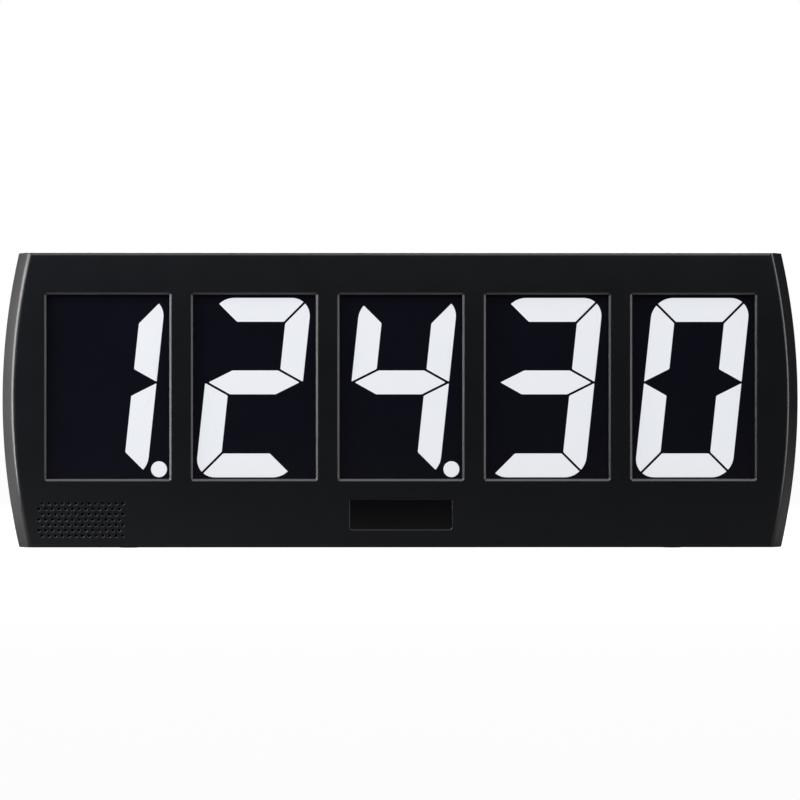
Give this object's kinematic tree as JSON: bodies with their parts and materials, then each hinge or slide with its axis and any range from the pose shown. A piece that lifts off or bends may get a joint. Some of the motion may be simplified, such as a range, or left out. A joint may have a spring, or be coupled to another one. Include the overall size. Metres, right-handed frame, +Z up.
{
  "type": "handheld timer",
  "caption": "Wide handheld timer with large segmented LCD digits in chamfered windows, bowed ends, a speaker grille, a rear keypad, a battery bay and a folding bail handle.",
  "frame": {"origin": "on the surface that the feet stand on, under the middle of the case", "axes": "+X to the right seen from the front, the display faces -Y, +Z up"},
  "size_m": [0.4414, 0.045, 0.1633],
  "materials": {
    "case_black": "black ABS, finely textured",
    "badge_black": "smooth black, bare",
    "lcd_dark": "dark blue-black liquid-crystal glass behind an anti-glare film",
    "backlight_white": "white light panel",
    "foam_black": "closed-cell foam",
    "connector_grey": "striped elastomer",
    "board_green": "solder-masked glass-fibre board",
    "silicone_grey": "silicone sheet",
    "button_green": "satin",
    "button_red": "satin",
    "button_grey": "satin",
    "cell_jacket": "printed foil jacket, bare of text",
    "nickel": "nickel-plated spring steel",
    "steel": "zinc-plated steel",
    "speaker_steel": "pressed steel",
    "cone_paper": "coated paper",
    "rubber_black": "soft rubber",
    "ribbon_grey": "flat cable insulation",
    "wire_red": "wire insulation",
    "wire_black": "wire insulation"
  },
  "bodies": {
    "case": {"backlight_1": "backlight_white", "backlight_2": "backlight_white", "backlight_3": "backlight_white", "backlight_4": "backlight_white", "backlight_5": "backlight_white", "badge_plate": "badge_black", "bail_pin_left": "steel", "bail_pin_right": "steel", "battery_cell_1": "cell_jacket", "battery_cell_2": "cell_jacket", "battery_cell_3": "cell_jacket", "battery_cell_4": "cell_jacket", "battery_contact_1": "nickel", "battery_contact_2": "nickel", "battery_contact_3": "nickel", "battery_contact_4": "nickel", "battery_contact_5": "nickel", "battery_lead_minus": "wire_black", "battery_lead_plus": "wire_red", "board_screw_left": "steel", "board_screw_right": "steel", "case_screw_1": "steel", "case_screw_2": "steel", "case_screw_3": "steel", "case_screw_4": "steel", "case_screw_5": "steel", "case_screw_6": "steel", "control_board": "board_green", "display_board": "board_green", "foot_front_left": "rubber_black", "foot_front_right": "rubber_black", "foot_rear_left": "rubber_black", "foot_rear_right": "rubber_black", "front_case": "case_black", "keypad_mat": "silicone_grey", "lcd_cell_1": "lcd_dark", "lcd_cell_2": "lcd_dark", "lcd_cell_3": "lcd_dark", "lcd_cell_4": "lcd_dark", "lcd_cell_5": "lcd_dark", "lcd_connector_1": "connector_grey", "lcd_connector_2": "connector_grey", "lcd_connector_3": "connector_grey", "lcd_connector_4": "connector_grey", "lcd_connector_5": "connector_grey", "rear_case": "case_black", "ribbon_cable": "ribbon_grey", "speaker_cone": "cone_paper", "speaker_frame": "speaker_steel", "speaker_lead": "wire_black", "window_gasket": "foam_black"},
    "bail": {"bail": "case_black"},
    "battery_door": {"battery_door": "case_black"},
    "start_stop_button": {"start_stop_button": "button_green"},
    "reset_button": {"reset_button": "button_red"},
    "mode_button": {"mode_button": "button_grey"},
    "down_button": {"down_button": "button_grey"},
    "up_button": {"up_button": "button_grey"},
    "power_switch_knob": {"power_switch_knob": "button_grey"}
  },
  "joints": [
    {"name": "bail_hinge", "type": "hinge", "parent": "case", "child": "bail", "pos_m": [0, 0.0176, 0.1103], "axis": [1, 0, 0], "range_deg": [0, 180]},
    {"name": "battery_door_hinge", "type": "hinge", "parent": "case", "child": "battery_door", "pos_m": [0, 0.0208, 0.0378], "axis": [-1, 0, 0], "range_deg": [0, 90]},
    {"name": "start_stop_button_press", "type": "slide", "parent": "case", "child": "start_stop_button", "axis": [0, -1, 0], "range_m": [0, 0.0012], "stiffness_N_per_m": 800},
    {"name": "reset_button_press", "type": "slide", "parent": "case", "child": "reset_button", "axis": [0, -1, 0], "range_m": [0, 0.0012], "stiffness_N_per_m": 800},
    {"name": "mode_button_press", "type": "slide", "parent": "case", "child": "mode_button", "axis": [0, -1, 0], "range_m": [0, 0.0012], "stiffness_N_per_m": 800},
    {"name": "down_button_press", "type": "slide", "parent": "case", "child": "down_button", "axis": [0, -1, 0], "range_m": [0, 0.0012], "stiffness_N_per_m": 800},
    {"name": "up_button_press", "type": "slide", "parent": "case", "child": "up_button", "axis": [0, -1, 0], "range_m": [0, 0.0012], "stiffness_N_per_m": 800},
    {"name": "power_switch_slide", "type": "slide", "parent": "case", "child": "power_switch_knob", "axis": [1, 0, 0], "range_m": [0, 0.004]}
  ]
}
